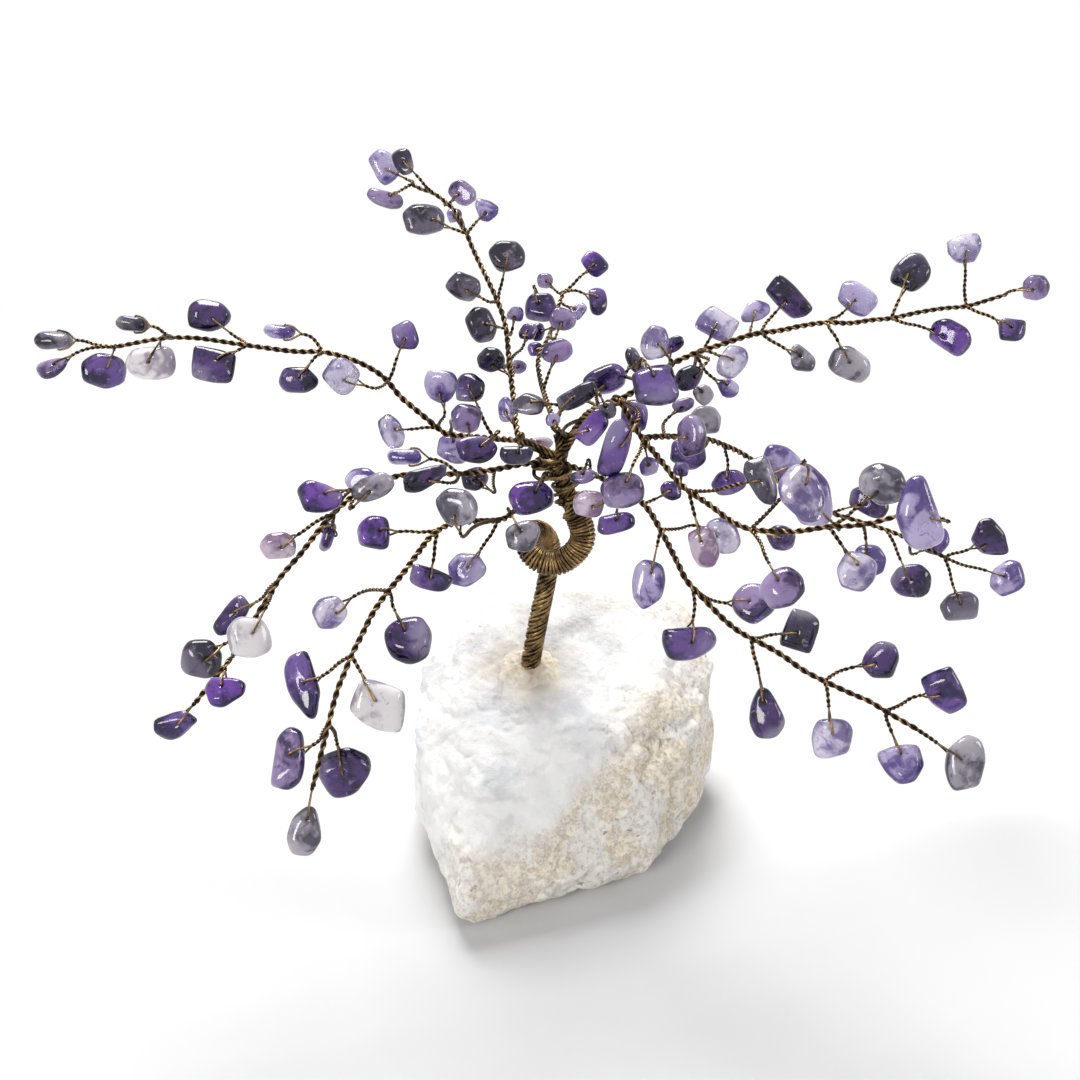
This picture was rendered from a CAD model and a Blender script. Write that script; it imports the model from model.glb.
import bpy
import numpy as np
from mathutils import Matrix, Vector


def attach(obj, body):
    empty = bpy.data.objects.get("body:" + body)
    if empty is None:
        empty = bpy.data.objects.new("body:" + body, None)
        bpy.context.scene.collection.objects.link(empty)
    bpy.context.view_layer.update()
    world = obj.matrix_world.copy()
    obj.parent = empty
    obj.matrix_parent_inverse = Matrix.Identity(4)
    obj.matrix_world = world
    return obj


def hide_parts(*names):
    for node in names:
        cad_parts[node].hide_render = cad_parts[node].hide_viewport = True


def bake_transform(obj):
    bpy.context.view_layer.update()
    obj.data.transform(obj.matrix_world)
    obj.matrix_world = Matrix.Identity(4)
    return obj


# A gemstone tree on a milky quartz rock: tumbled amethyst chips on twisted antique brass
# wire. Objects are in metres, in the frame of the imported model. Settings are in millimetres and
# degrees, and the tables of routes and chips in pixels of the photograph, with a depth behind
# the trunk in the same unit.

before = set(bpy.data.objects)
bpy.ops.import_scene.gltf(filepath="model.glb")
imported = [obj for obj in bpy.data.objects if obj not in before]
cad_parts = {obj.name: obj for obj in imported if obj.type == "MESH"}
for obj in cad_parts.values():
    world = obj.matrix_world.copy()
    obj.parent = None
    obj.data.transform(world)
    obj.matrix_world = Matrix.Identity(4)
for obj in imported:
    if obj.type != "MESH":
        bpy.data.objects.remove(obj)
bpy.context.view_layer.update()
milli = 0.001

# The photograph's camera and how its pixels lie in space
view = {"elevation": 29.0, "focal": 1788.0, "centre": 540.0, "treeSpan": 240.0, "spanPixels": 1022.0,
        "foot": (530.0, 665.0), "mouth": (-9.36, 7.6, 44.908), "depthSpread": 1.6}
pixelSize = view["treeSpan"] / view["spanPixels"]
viewCos = np.cos(np.radians(view["elevation"]))
viewSin = np.sin(np.radians(view["elevation"]))
rightward = np.array([1.0, 0.0, 0.0])
upward = np.array([0.0, viewSin, viewCos])
toCamera = np.array([0.0, -viewCos, viewSin])


def unit(vectors):
    return vectors / np.maximum(np.linalg.norm(vectors, axis=-1, keepdims=True), 1e-12)


# The point at a depth on the ray through a pixel: camera + reach * ray, in pixels
def rayAndReach(column, row, depth):
    across = (column - view["centre"]) / view["focal"]
    down = (row - view["centre"]) / view["focal"]
    ray = rightward * across - upward * down - toCamera
    return ray, (depth - toCamera[1] * view["focal"]) / ray[1]


def seen(column, row, depth):
    ray, reach = rayAndReach(column, row, depth)
    return toCamera * view["focal"] + ray * reach


# The same in millimetres from the middle of the rock's underside
def place(column, row, depth):
    return np.array(view["mouth"]) + (seen(column, row, depth) - seen(*view["foot"], 0.0)) * pixelSize


def route(pixels):
    return np.array([place(column, row, depth * view["depthSpread"]) for column, row, depth in pixels])


# The trunk's centre line: column, row, depth
trunkRoute = [
    (537, 625, 0), (545, 590, 4), (551, 558, 15), (546, 537, 21), (534, 530, 9), (526, 544, -10),
    (536, 560, -21), (556, 565, -23), (575, 554, -21), (585, 537, -16), (578, 516, -9),
    (568, 499, -3), (564, 480, 1), (558, 462, 0),
]

# Routes of the wires: column, row, depth. Inner lengths start in the crown and end at the
# branch's bend, where the outer length takes over.
neckRoute = [(558, 462, 0), (564, 448, 4), (560, 434, 8)]
leftLimbRoute = [(558, 462, 0), (536, 447, 4), (519, 440, 8)]
rightLimbRoute = [(560, 434, 8), (580, 420, 2), (600, 407, -4), (620, 400, -8)]
innerRoutes = {
    "a": [(519, 440, 8), (495, 439, 22), (470, 436, 34), (447, 435, 38), (440, 430, 39), (415, 409, 42)],
    "b": [(519, 440, 8), (516, 427, 20), (514, 400, 42), (509, 362, 70), (507, 330, 92),
          (500, 305, 108), (480, 264, 135)],
    "c": [(560, 434, 8), (555, 424, 22), (548, 405, 52), (543, 390, 80), (540, 378, 96)],
    "d": [(620, 400, -8), (640, 388, 4), (667, 366, 16), (697, 352, 28), (720, 345, 35), (738, 339, 40)],
    "e": [(620, 400, -8), (632, 421, -22), (642, 438, -34), (660, 459, -50), (676, 480, -64),
          (687, 490, -72), (712, 506, -90)],
    "f": [(558, 462, 0), (590, 472, -16), (620, 487, -32), (645, 503, -48), (660, 528, -62),
          (679, 565, -88)],
    "g": [(642, 438, -34), (665, 436, -22), (690, 438, -6), (708, 439, 6), (724, 445, 16),
          (746, 455, 28)],
    "h": [(558, 462, 0), (548, 470, -13), (533, 495, -24), (511, 515, -44), (500, 521, -52),
          (470, 521, -72), (437, 527, -96), (413, 560, -122)],
    "i": [(558, 462, 0), (530, 462, -4), (495, 470, -12), (457, 475, -24), (430, 473, -34),
          (398, 475, -48), (366, 486, -62), (333, 512, -82), (306, 547, -100)],
}
outerRoutes = {
    "a": [(415, 409, 42), (400, 397, 44), (388, 381, 48), (375, 370, 50), (350, 358, 52), (322, 351, 54),
          (300, 352, 56), (280, 350, 57), (246, 345, 58), (225, 342, 60), (200, 338, 61), (172, 337, 62),
          (150, 340, 63), (130, 344, 64), (115, 347, 65)],
    "b": [(480, 264, 135), (472, 247, 146), (467, 234, 151), (461, 222, 158), (455, 210, 166),
          (446, 202, 170), (433, 192, 178), (420, 189, 184), (412, 184, 190)],
    "c": [(540, 378, 96), (537, 360, 116), (545, 345, 135), (552, 330, 152), (556, 312, 172),
          (560, 302, 184), (564, 292, 196)],
    "d": [(738, 339, 40), (750, 335, 44), (760, 333, 47), (780, 331, 52), (800, 326, 58), (828, 322, 66),
          (850, 324, 72), (870, 320, 78), (890, 319, 84), (920, 312, 92), (945, 308, 98), (967, 307, 104),
          (985, 301, 110), (1005, 295, 116)],
    "e": [(712, 506, -90), (730, 521, -100), (750, 530, -110), (775, 531, -118), (796, 532, -124),
          (830, 526, -132), (857, 526, -136), (885, 520, -141), (903, 514, -143)],
    "f": [(679, 565, -88), (684, 577, -94), (691, 586, -98), (707, 602, -106), (723, 619, -114),
          (738, 631, -120), (749, 637, -125), (780, 653, -136), (802, 670, -144), (824, 681, -150),
          (852, 694, -158), (870, 701, -163), (883, 710, -168), (915, 728, -178)],
    "g": [(746, 455, 28), (770, 475, 34), (800, 497, 39), (829, 513, 42), (858, 521, 45), (887, 530, 49),
          (909, 539, 52), (944, 557, 56)],
    "h": [(413, 560, -122), (402, 575, -132), (389, 590, -142), (373, 612, -156), (362, 635, -168),
          (351, 656, -180), (345, 672, -188), (337, 690, -196), (328, 726, -212), (321, 755, -224),
          (316, 775, -232), (313, 786, -236)],
    "i": [(306, 547, -100), (300, 555, -104), (288, 568, -110), (278, 580, -116), (270, 596, -124),
          (258, 612, -132), (250, 630, -138), (237, 650, -146), (222, 670, -152), (205, 690, -158),
          (196, 702, -162)],
}

# Chips: point of the route that the twig leaves, column, row, depth, length, width,
# lean of the long axis in degrees, outline, tone, shade.
innerChips = {
    "limb": [
        (0, 577, 396, -8, 56, 22, 28, "bean", "dark", "black"),
        (2, 605, 380, 30, 50, 32, 10, "pebble", "violet", "violet"),
        (2, 607, 410, -34, 22, 21, 0, "disc", "pale", "smoky"),
        (1, 592, 428, -46, 50, 26, 50, "bean", "violet", "vivid"),
        (0, 553, 420, -34, 18, 15, 0, "disc", "pale", "lilac"),
    ],
    "a": [
        (4, 391, 430, 30, 45, 24, -65, "pebble", "pale", "clear"),
        (4, 441, 387, 63, 38, 37, 0, "disc", "pale", "lilac"),
        (3, 455, 448, 60, 40, 34, -20, "pebble", "pale", "lilac"),
        (1, 476, 450, -16, 48, 30, 0, "pebble", "dark", "dark"),
        (2, 467, 418, 8, 36, 32, 0, "pebble", "violet", "mauve"),
        (1, 469, 388, 42, 36, 32, 0, "pebble", "dark", "dark"),
        (0, 517, 454, -28, 42, 22, 0, "bean", "dark", "black"),
        (0, 541, 444, 28, 28, 16, 0, "bean", "pale", "rose"),
    ],
    "b": [
        (1, 506, 410, 24, 30, 18, 90, "bean", "pale", "lilac"),
        (3, 491, 361, 56, 30, 28, 0, "pebble", "dark", "black"),
        (4, 480, 324, 82, 45, 30, -60, "pebble", "dark", "black"),
        (3, 519, 367, 94, 18, 16, 0, "disc", "pale", "lilac"),
        (4, 515, 315, 116, 20, 17, 0, "pebble", "pale", "lilac"),
        (3, 528, 332, 104, 22, 18, 0, "pebble", "dark", "dark"),
        (5, 463, 286, 98, 40, 30, -35, "pebble", "dark", "slate"),
        (5, 507, 257, 130, 40, 36, 0, "pebble", "dark", "slate"),
    ],
    "c": [
        (1, 528, 404, 2, 38, 24, -10, "pebble", "pale", "smoky"),
        (3, 557, 352, 86, 36, 24, 25, "pebble", "violet", "mauve"),
    ],
    "d": [
        (1, 635, 360, 46, 34, 16, -60, "bean", "dark", "slate"),
        (2, 655, 342, 0, 44, 30, 85, "pebble", "pale", "clear"),
        (2, 672, 345, 50, 28, 17, 30, "pebble", "violet", "violet"),
        (1, 655, 385, -28, 50, 44, 10, "block", "violet", "violet"),
        (3, 690, 378, 2, 34, 24, 20, "pebble", "dark", "dark"),
        (3, 703, 395, 56, 26, 20, -60, "pebble", "pale", "smoky"),
        (3, 718, 323, 58, 44, 34, -30, "block", "pale", "clear"),
        (3, 733, 361, 14, 44, 28, 50, "pebble", "pale", "clear"),
        (3, 728, 388, 25, 24, 20, 0, "pebble", "pale", "lilac"),
    ],
    "e": [
        (0, 614, 450, -64, 74, 30, 75, "bean", "violet", "violet"),
        (0, 635, 415, 22, 40, 30, 88, "pebble", "violet", "violet"),
        (2, 622, 490, -72, 50, 40, 10, "pebble", "violet", "mauve"),
        (2, 649, 466, -22, 22, 22, 0, "disc", "pale", "lilac"),
        (4, 681, 470, -42, 18, 18, 0, "disc", "pale", "lilac"),
        (5, 762, 480, -94, 62, 34, -70, "drop", "pale", "smoky"),
        (5, 703, 545, -84, 54, 30, -75, "pebble", "pale", "rose"),
    ],
    "f": [
        (1, 583, 477, -30, 30, 16, 10, "bean", "violet", "mauve"),
        (2, 590, 505, -52, 36, 30, 0, "pebble", "pale", "rose"),
        (2, 615, 523, -50, 46, 24, 10, "bean", "violet", "violet"),
        (3, 671, 491, -36, 24, 22, 0, "pebble", "violet", "violet"),
        (4, 723, 536, -48, 42, 36, -20, "pebble", "pale", "clear"),
    ],
    "g": [
        (1, 692, 437, -36, 50, 30, 88, "pebble", "violet", "mauve"),
        (2, 689, 454, 18, 44, 34, -20, "pebble", "violet", "violet"),
        (3, 705, 422, 34, 36, 34, 0, "pebble", "pale", "smoky"),
        (4, 728, 483, 8, 42, 26, 5, "pebble", "violet", "violet"),
        (1, 683, 405, 2, 28, 15, 10, "bean", "violet", "mauve"),
    ],
    "h": [
        (2, 531, 499, -46, 50, 38, 10, "pebble", "violet", "vivid"),
        (3, 523, 536, -64, 40, 36, 0, "pebble", "pale", "smoky"),
        (4, 456, 508, -118, 46, 40, 0, "pebble", "pale", "smoky"),
        (6, 375, 534, -106, 38, 36, 0, "pebble", "violet", "vivid"),
        (6, 430, 578, -106, 56, 26, -20, "bean", "violet", "violet"),
        (4, 467, 571, -62, 42, 38, 0, "pebble", "pale", "lilac"),
    ],
    "i": [
        (3, 405, 457, -22, 42, 16, -5, "edge", "pale", "lilac"),
        (3, 424, 478, -62, 60, 24, 18, "drop", "dark", "dark"),
        (2, 475, 479, 16, 30, 26, 0, "pebble", "dark", "dark"),
        (6, 361, 481, -38, 40, 28, 10, "pebble", "pale", "lilac"),
        (6, 373, 487, -88, 54, 28, 20, "bean", "pale", "smoky"),
        (7, 319, 498, -106, 48, 36, 0, "wedge", "violet", "vivid"),
        (7, 278, 547, -84, 40, 30, 10, "pebble", "pale", "rose"),
        (7, 328, 536, -70, 42, 13, 72, "edge", "violet", "violet"),
    ],
}
outerChips = {
    "a": [
        (2, 405, 336, 60, 38, 28, -70, "pebble", "violet", "violet"),
        (2, 341, 375, 30, 45, 36, -45, "pebble", "pale", "clear"),
        (5, 280, 332, 62, 38, 14, -5, "edge", "pale", "lilac"),
        (5, 298, 379, 40, 46, 30, 0, "bean", "dark", "dark"),
        (8, 208, 316, 72, 50, 35, -5, "pebble", "dark", "dark"),
        (8, 212, 365, 44, 50, 36, -10, "block", "dark", "dark"),
        (11, 150, 363, 34, 60, 37, 5, "bean", "pale", "milk"),
        (11, 131, 324, 76, 40, 15, -5, "edge", "dark", "black"),
        (14, 106, 372, 62, 52, 38, -10, "pebble", "violet", "violet"),
        (14, 53, 340, 76, 46, 18, 0, "edge", "pale", "slate"),
        (14, 52, 368, 50, 42, 20, 12, "wedge", "pale", "mauve"),
    ],
    "b": [
        (2, 487, 210, 160, 25, 24, 0, "wedge", "violet", "lilac"),
        (2, 425, 220, 148, 48, 36, 0, "pebble", "dark", "slate"),
        (4, 454, 216, 196, 18, 18, 0, "disc", "violet", "lilac"),
        (5, 462, 193, 178, 36, 22, -35, "pebble", "violet", "mauve"),
        (8, 387, 199, 176, 46, 18, -12, "bean", "violet", "mauve"),
        (8, 384, 168, 216, 40, 30, -60, "pebble", "violet", "lilac"),
        (6, 403, 161, 182, 34, 22, -65, "pebble", "dark", "black"),
    ],
    "c": [
        (6, 595, 265, 208, 34, 24, -50, "pebble", "violet", "vivid"),
        (6, 597, 300, 190, 34, 20, 88, "bean", "violet", "violet"),
        (6, 545, 281, 212, 18, 18, 0, "disc", "violet", "mauve"),
        (4, 541, 308, 123, 38, 32, 0, "pebble", "dark", "dark"),
        (3, 562, 319, 116, 32, 24, 0, "pebble", "violet", "mauve"),
        (5, 577, 312, 176, 24, 16, 50, "bean", "violet", "lilac"),
        (3, 538, 332, 166, 20, 16, 88, "pebble", "violet", "violet"),
        (2, 535, 350, 150, 18, 17, 0, "disc", "violet", "violet"),
    ],
    "d": [
        (1, 755, 312, 86, 36, 22, 25, "pebble", "pale", "lilac"),
        (2, 788, 298, 60, 56, 26, -50, "block", "dark", "dark"),
        (2, 802, 360, 34, 34, 26, -40, "wedge", "pale", "smoky"),
        (5, 857, 299, 94, 54, 32, -35, "pebble", "pale", "lilac"),
        (5, 850, 365, 54, 48, 38, -35, "pebble", "pale", "smoky"),
        (8, 911, 274, 102, 54, 34, 45, "pebble", "dark", "black"),
        (8, 950, 338, 80, 48, 34, -25, "pebble", "violet", "vivid"),
        (11, 965, 249, 128, 40, 34, 30, "wedge", "pale", "clear"),
        (11, 1013, 330, 96, 32, 24, 0, "block", "violet", "violet"),
        (13, 1035, 288, 124, 32, 26, 0, "pebble", "pale", "mauve"),
    ],
    "e": [
        (2, 800, 494, -152, 68, 44, -75, "pebble", "pale", "clear"),
        (5, 811, 497, -98, 80, 42, -80, "pebble", "violet", "lilac"),
        (2, 781, 538, -92, 32, 28, 0, "pebble", "pale", "mauve"),
        (2, 782, 587, -152, 50, 44, 20, "pebble", "violet", "mauve"),
        (5, 882, 486, -142, 52, 44, -15, "pebble", "pale", "smoky"),
        (8, 919, 516, -172, 92, 46, -68, "bean", "pale", "lilac"),
        (5, 858, 570, -146, 48, 42, 60, "pebble", "pale", "clear"),
        (6, 868, 561, -104, 38, 34, 0, "pebble", "pale", "lilac"),
    ],
    "f": [
        (2, 754, 605, -90, 48, 42, 0, "pebble", "violet", "mauve"),
        (2, 688, 643, -116, 62, 40, -5, "bean", "dark", "violet"),
        (6, 800, 632, -112, 48, 36, 70, "block", "dark", "black"),
        (9, 881, 660, -140, 42, 38, 80, "pebble", "violet", "dark"),
        (12, 945, 692, -158, 52, 36, -65, "block", "violet", "violet"),
    ],
    "g": [
        (1, 785, 468, 60, 60, 38, -35, "pebble", "pale", "lilac"),
        (3, 869, 502, 30, 44, 34, -20, "pebble", "dark", "dark"),
        (5, 911, 582, 38, 44, 38, 10, "pebble", "dark", "dark"),
        (6, 936, 541, 76, 34, 26, 60, "pebble", "violet", "violet"),
        (7, 990, 540, 48, 50, 34, -45, "wedge", "dark", "dark"),
        (7, 1009, 578, 50, 42, 34, 35, "pebble", "pale", "lilac"),
        (7, 961, 608, 40, 46, 34, 10, "pebble", "dark", "slate"),
    ],
    "h": [
        (2, 331, 613, -132, 40, 34, 10, "pebble", "pale", "clear"),
        (2, 408, 640, -152, 52, 50, 0, "pebble", "dark", "dark"),
        (5, 304, 686, -176, 76, 36, -70, "bean", "violet", "violet"),
        (5, 380, 706, -192, 64, 50, -20, "block", "pale", "milk"),
        (8, 289, 758, -204, 70, 36, 85, "bean", "dark", "mauve"),
        (8, 344, 772, -200, 64, 50, 25, "pebble", "dark", "dark"),
    ],
    "i": [
        (3, 233, 615, -102, 62, 24, 45, "bean", "dark", "dark"),
        (4, 250, 637, -168, 50, 46, 0, "pebble", "pale", "milk"),
        (7, 200, 660, -128, 48, 42, 0, "pebble", "dark", "slate"),
        (7, 224, 691, -178, 46, 34, 0, "wedge", "violet", "vivid"),
        (10, 175, 725, -164, 58, 28, 25, "wedge", "violet", "violet"),
    ],
}
# The chips that hang in open loops, by the names of their nodes: branch, then as above.
hangingChips = {
    "hanging_tall_chip": ("f_inner", (4, 649, 584, -76, 58, 36, 88, "pebble", "pale", "lilac")),
    "hanging_drop_chip": ("f", (6, 766, 712, -142, 58, 40, 100, "drop", "dark", "dark")),
    "hanging_disc_chip": ("f", (9, 832, 739, -162, 52, 46, 0, "disc", "pale", "clear")),
    "hanging_wedge_chip": ("f", (12, 904, 763, -184, 52, 42, 25, "wedge", "violet", "lilac")),
    "hanging_oval_chip": ("f", (13, 965, 764, -188, 66, 44, 84, "pebble", "pale", "smoky")),
    "hanging_pear_chip": ("h", (11, 305, 829, -242, 58, 38, 86, "drop", "pale", "smoky")),
}

# Outlines of the chips, as shares of half their length and half their width
outlineShares = {
    "pebble": [(1.0, 0.25), (0.55, 0.95), (-0.45, 1.0), (-1.0, 0.35), (-0.8, -0.75), (0.2, -1.0),
               (0.85, -0.65)],
    "bean": [(1.0, 0.35), (0.6, 0.95), (-0.3, 0.88), (-0.9, 0.8), (-1.0, -0.25), (-0.6, -0.95),
             (0.35, -1.0), (0.9, -0.55)],
    "drop": [(1.0, 0.25), (0.7, 0.6), (-0.35, 1.0), (-0.95, 0.65), (-1.0, -0.5), (-0.4, -1.0),
             (0.8, -0.5)],
    "wedge": [(1.0, 0.4), (0.35, 0.85), (-0.75, 1.0), (-1.0, 0.45), (-0.55, -0.85), (0.05, -1.0),
              (0.9, -0.35)],
    "block": [(0.92, 0.85), (0.05, 1.0), (-0.9, 0.88), (-1.0, 0.0), (-0.87, -0.92), (0.3, -1.0),
              (0.97, -0.75), (1.0, 0.1)],
    "disc": [(1.0, 0.3), (0.7, 0.85), (0.0, 1.0), (-0.7, 0.9), (-1.0, 0.2), (-0.75, -0.75),
             (0.0, -1.0), (0.8, -0.7)],
}
outlineShares["edge"] = outlineShares["pebble"]


# Curves, tubes and skins

# Steps in each parabola, the share of the radius left at a tube's ends, and a wire's wear: in
# the open, and in a bundle, where it grows from a share of the bundle's radius over another
tube = {"arcSteps": 32, "endShare": 0.05, "openWear": 0.95, "wearFrom": 0.58, "wearOver": 0.38}


# The length of a line up to each of its points
def lengths(line):
    return np.concatenate([[0.0], np.cumsum(np.linalg.norm(np.diff(line, axis=0), axis=1))])


# The rows that belong to a line's points, read at other lengths along it
def readAt(spots, marks, rows):
    return np.stack([np.interp(spots, marks, column) for column in rows.T], axis=1)


# Points at equal steps along a run of points
def resampled(line, step):
    marks = lengths(line)
    return readAt(np.linspace(0.0, marks[-1], max(int(round(marks[-1] / step)), 3) + 1), marks, line)


# A run of parabolas from the middle of each straight to the middle of the next: start * (1-t)^2
# + corner * 2t(1-t) + end * t^2
def smoothed(points, step):
    middles = 0.5 * (points[:-1] + points[1:])
    starts, ends = middles[:-1].copy(), middles[1:].copy()
    starts[0], ends[-1] = points[0], points[-1]
    t = np.linspace(0.0, 1.0, tube["arcSteps"], endpoint=False)[None, :, None]
    curve = starts[:, None] * (1 - t) ** 2 + points[1:-1][:, None] * 2 * t * (1 - t) + ends[:, None] * t ** 2
    return resampled(np.vstack([curve.reshape(-1, 3), points[-1:]]), step)


# The point of that run beside a corner: three quarters of the corner and an eighth of each
# neighbour
def cornerPoint(points, number):
    if number in (0, len(points) - 1):
        return points[number]
    return 0.125 * points[number - 1] + 0.75 * points[number] + 0.125 * points[number + 1]


# The line's direction and two directions square to it: its cross product with the hint least
# in line with it, and the cross product of the two
def squareTo(line, hint=None):
    along = unit(np.gradient(line, axis=0))
    if hint is None:
        hints = [toCamera, rightward, upward, unit(toCamera + rightward), unit(upward - rightward)]
        hint = min(hints, key=lambda candidate: np.abs(along @ candidate).max())
    first = unit(np.cross(along, hint))
    return along, first, np.cross(along, first)


# A row of values with its first and last ones doubled
def doubled(values):
    return np.concatenate([values[:1], values, values[-1:]])


# Quads between rings of points, one ring after the other
def ringQuads(rings, around, start=0):
    low = start + np.arange(rings - 1)[:, None] * around
    here = np.arange(around)[None, :]
    there = (here + 1) % around
    quads = np.stack([low + here, low + there, low + around + there, low + around + here], axis=-1)
    return quads.reshape(-1, 4)


# Faces of a closed skin: a first point, rings of points and a last point. Turn -1 is for rings
# that run the other way
def skinFaces(rings, around, turn=1):
    here = np.arange(around)
    there = (here + 1) % around
    last = 1 + (rings - 1) * around
    lowCap = np.column_stack([0 * here, there + 1, here + 1])
    highCap = np.column_stack([last + here, last + there, 0 * here + last + around])
    parts = (ringQuads(rings, around, 1), lowCap, highCap)
    return [face for part in parts for face in part[:, ::turn].tolist()]


# A round tube: each ring is the line's point + radius * (cos a * first + sin a * second), and
# the end rings shrink to a twentieth. In a bundle its wear grows away from the bundle's middle
def tubeMesh(line, radius, sides, hint=None, middle=None, reach=None):
    _, first, second = squareTo(line, hint)
    radii = doubled(np.ones(len(line)) * radius)
    radii[[0, -1]] *= tube["endShare"]
    line, first, second = (doubled(rows)[:, None] for rows in (line, first, second))
    angle = np.linspace(0.0, 2 * np.pi, sides, endpoint=False)[None, :, None]
    rings = line + radii[:, None, None] * (np.cos(angle) * first + np.sin(angle) * second)
    worn = np.full(rings.shape[:2], tube["openWear"])
    if middle is not None:
        away = np.linalg.norm(rings - doubled(middle)[:, None], axis=2) / doubled(reach)[:, None]
        worn = np.clip((away - tube["wearFrom"]) / tube["wearOver"], 0.0, 1.0)
    return rings.reshape(-1, 3), ringQuads(len(rings), sides), worn.ravel()


# Strands twisted round a line: strand k's middle is the line's point + bundle radius at the
# angle 2 pi * (length / pitch + k / count) + stray * sin(0.9 * length + 2.1 * k)
def twistedMeshes(line, wire, phase=0.0):
    _, first, second = squareTo(line)
    length = lengths(line)
    size = np.interp(length, [0.0, length[-1]], wire["taper"])
    meshes = []
    for strand in range(wire["strands"]):
        stray = wire["stray"] * np.sin(length * 0.9 + 2.1 * strand)
        angle = 2 * np.pi * (length / wire["pitch"] + strand / wire["strands"]) + phase + stray
        offset = np.cos(angle)[:, None] * first + np.sin(angle)[:, None] * second
        strandLine = line + offset * (wire["bundle"] * size)[:, None]
        meshes.append(tubeMesh(strandLine, wire["radius"] * size, wire["sides"], None, line,
                               (wire["bundle"] + wire["radius"]) * size))
    return meshes


# One object from points in millimetres, faces and the values at its points
def makeObject(name, points, faces, material, body=None, values=None):
    mesh = bpy.data.meshes.new(name)
    mesh.from_pydata((points * milli).tolist(), [], faces)
    mesh.polygons.foreach_set("use_smooth", np.ones(len(faces), bool))
    for key, value in (values or {}).items():
        kind, field = ("FLOAT_COLOR", "color") if value.ndim == 2 else ("FLOAT", "value")
        attribute = mesh.attributes.new(key, kind, "POINT")
        attribute.data.foreach_set(field, value.astype(np.float32).ravel())
    mesh.update()
    mesh.materials.append(material)
    piece = bpy.data.objects.new(name, mesh)
    bpy.context.scene.collection.objects.link(piece)
    if body:
        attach(piece, body)
    return piece


# One object from several meshes. Wires bring their wear as a third part
def joinMeshes(name, meshes, material, body=None, values=None):
    starts = np.cumsum([0] + [len(part[0]) for part in meshes[:-1]])
    faces = np.vstack([part[1] + start for part, start in zip(meshes, starts)]).tolist()
    values = values or {"worn": np.concatenate([part[2] for part in meshes])}
    return makeObject(name, np.vstack([part[0] for part in meshes]), faces, material, body, values)


# Smooth random values in space: the eight hashed corners of a lattice cell, mixed by the place
# in the cell, s, eased as s^2 * (3 - 2s). The long numbers are primes that scatter the corners
def latticeNoise(points, cell, seed):
    scaled = points / cell
    base = np.floor(scaled).astype(np.int64)
    share = scaled - base
    share = share * share * (3 - 2 * share)
    total = np.zeros(len(points))
    for corner in range(8):
        step = np.array([corner & 1, corner >> 1 & 1, corner >> 2 & 1])
        x, y, z = (base + step).T
        code = (x * 73856093) ^ (y * 19349663) ^ (z * 83492791) ^ (seed * 2654435761)
        code = (code ^ (code >> 13)) * 1274126177 & 0x7FFFFFFF
        value = ((code ^ (code >> 16)) & 0xFFFF) / 65535.0
        total += value * np.prod(np.where(step == 1, share, 1 - share), axis=1)
    return total


# How far straight lines in some directions run from a start before they leave an outline
def outlineReach(corners, directions, start=(0.0, 0.0)):
    sides = np.roll(corners, -1, axis=0) - corners
    offsets = corners - np.array(start)
    x, y = directions[..., :1], directions[..., 1:]
    cross = x * sides[:, 1] - y * sides[:, 0]
    cross = np.where(np.abs(cross) < 1e-9, 1e-9, cross)
    along = (offsets[:, 0] * sides[:, 1] - offsets[:, 1] * sides[:, 0]) / cross
    share = (offsets[:, 0] * y - offsets[:, 1] * x) / cross
    return np.where((along > 0) & (share >= -1e-9) & (share <= 1 + 1e-9), along, 0).max(axis=-1)


# Shader nodes. Each helper works in the node tree of the sockets that it is given


def isSocket(value):
    return isinstance(value, bpy.types.NodeSocket)


def setInputs(node, inputs):
    for key, value in inputs.items():
        if isSocket(value):
            node.id_data.links.new(value, node.inputs[key])
        else:
            node.inputs[key].default_value = value
    return node


def addNode(tree, kind, inputs=None, **settings):
    node = tree.nodes.new(kind)
    for key, value in settings.items():
        setattr(node, key, value)
    return setInputs(node, inputs or {})


def nodeFrom(kind, inputs, **settings):
    tree = next(value for value in inputs.values() if isSocket(value)).id_data
    return addNode(tree, kind, inputs, **settings)


def maths(operation, *values, clamp=False):
    inputs = dict(enumerate(values))
    return nodeFrom("ShaderNodeMath", inputs, operation=operation, use_clamp=clamp).outputs[0]


def plus(total, *values):
    for value in values:
        total = maths("ADD", total, value)
    return total


def less(first, second):
    return maths("SUBTRACT", first, second)


def times(first, second):
    return maths("MULTIPLY", first, second)


# The Mix node's sockets for colours are its inputs 6 and 7 and its output 2
def mixColour(factor, *colours):
    first, second = (colour if isSocket(colour) else (*colour, 1.0) for colour in colours)
    return nodeFrom("ShaderNodeMix", {0: factor, 6: first, 7: second}, data_type="RGBA").outputs[2]


def ramp(factor, stops):
    node = nodeFrom("ShaderNodeValToRGB", {"Fac": factor})
    elements = node.color_ramp.elements
    for number, (position, colour) in enumerate(stops):
        element = elements[number] if number < 2 else elements.new(position)
        element.position = position
        element.color = (*colour, 1.0)
    return node.outputs["Color"]


def remap(value, low, high, newLow=0.0, newHigh=1.0):
    inputs = {"Value": value, "From Min": low, "From Max": high, "To Min": newLow, "To Max": newHigh}
    return nodeFrom("ShaderNodeMapRange", inputs, interpolation_type="SMOOTHSTEP").outputs["Result"]


def bumped(height, strength, distance):
    inputs = {"Height": height, "Strength": strength, "Distance": distance}
    return nodeFrom("ShaderNodeBump", inputs).outputs["Normal"]


def readValue(tree, name, output="Fac"):
    return addNode(tree, "ShaderNodeAttribute", attribute_name=name).outputs[output]


def voronoi(vector, scale):
    return nodeFrom("ShaderNodeTexVoronoi", {"Vector": vector, "Scale": scale}).outputs


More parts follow.
